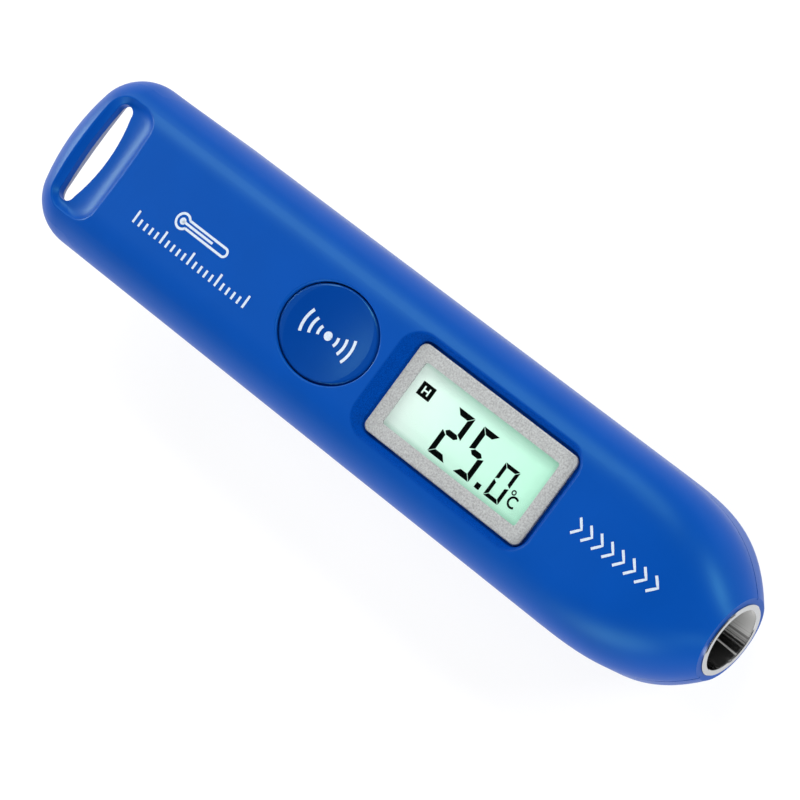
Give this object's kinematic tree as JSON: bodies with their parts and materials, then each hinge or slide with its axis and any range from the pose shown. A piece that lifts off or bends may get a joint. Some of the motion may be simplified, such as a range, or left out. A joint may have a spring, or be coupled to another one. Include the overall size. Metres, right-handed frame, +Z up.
{
  "type": "pocket infrared thermometer",
  "caption": "Pen-shaped non-contact thermometer with a measuring button, a small display, a mirror cup in the nose and a lanyard slot in the tail.",
  "frame": {"origin": "centre of the flat back that the thermometer lies on, at the middle of its length and width", "axes": "+X along the case towards the nose, +Y across it, +Z up out of the display"},
  "size_m": [0.0828, 0.0178, 0.015],
  "materials": {
    "case_blue": "satin",
    "door_blue": "satin",
    "button_blue": "satin",
    "silver_plastic": "sand-blasted",
    "clear_lens": "polished",
    "glass": "polished",
    "polariser": "matte",
    "white_plastic": "matte",
    "lamp": "gloss",
    "black_plastic": "matte",
    "rubber": "matte",
    "board_green": "solder mask",
    "ceramic": "matte",
    "steel": "brushed",
    "gold_plate": "polished",
    "chrome": "mirror"
  },
  "bodies": {
    "case": {"front_case": "case_blue", "rear_case": "case_blue", "switch_body": "black_plastic", "switch_cover": "steel", "switch_pins": "steel", "lcd_bezel": "silver_plastic", "lcd_window": "clear_lens", "lcd_holder": "white_plastic", "lcd_front_glass": "glass", "lcd_rear_glass": "glass", "lcd_front_polariser": "polariser", "lcd_rear_polariser": "polariser", "light_guide": "white_plastic", "backlight_lamp": "lamp", "connector_strips": "rubber", "main_board": "board_green", "chip_blob": "black_plastic", "clock_crystal": "steel", "capacitors": "ceramic", "resistors": "black_plastic", "cell_a_can": "steel", "cell_a_cap": "steel", "cell_a_seal": "white_plastic", "cell_b_can": "steel", "cell_b_cap": "steel", "cell_b_seal": "white_plastic", "contact_positive": "steel", "contact_negative": "steel", "sensor_holder": "black_plastic", "sensor_header": "gold_plate", "sensor_can": "steel", "sensor_filter": "glass", "sensor_element": "black_plastic", "sensor_gasket": "rubber", "sensor_leads": "gold_plate", "sensor_socket": "white_plastic", "nose_reflector": "chrome", "case_screws": "steel", "board_screws": "steel"},
    "button": {"measure_button": "button_blue"},
    "plunger": {"switch_plunger": "white_plastic"},
    "door": {"battery_door": "door_blue", "contact_bridge": "steel"}
  },
  "joints": [
    {"name": "button_press", "type": "slide", "parent": "case", "child": "button", "axis": [0, 0, -1], "range_m": [0, 0.0005], "stiffness_N_per_m": 400, "springref_m": -0.0005},
    {"name": "plunger_press", "type": "slide", "parent": "case", "child": "plunger", "axis": [0, 0, -1], "range_m": [0, 0.0005]},
    {"name": "door_slide", "type": "slide", "parent": "case", "child": "door", "axis": [-1, 0, 0], "range_m": [0, 0.0285]}
  ],
  "couplings": [
    {"joint": "plunger_press", "follows": "button_press", "ratio": 1}
  ]
}
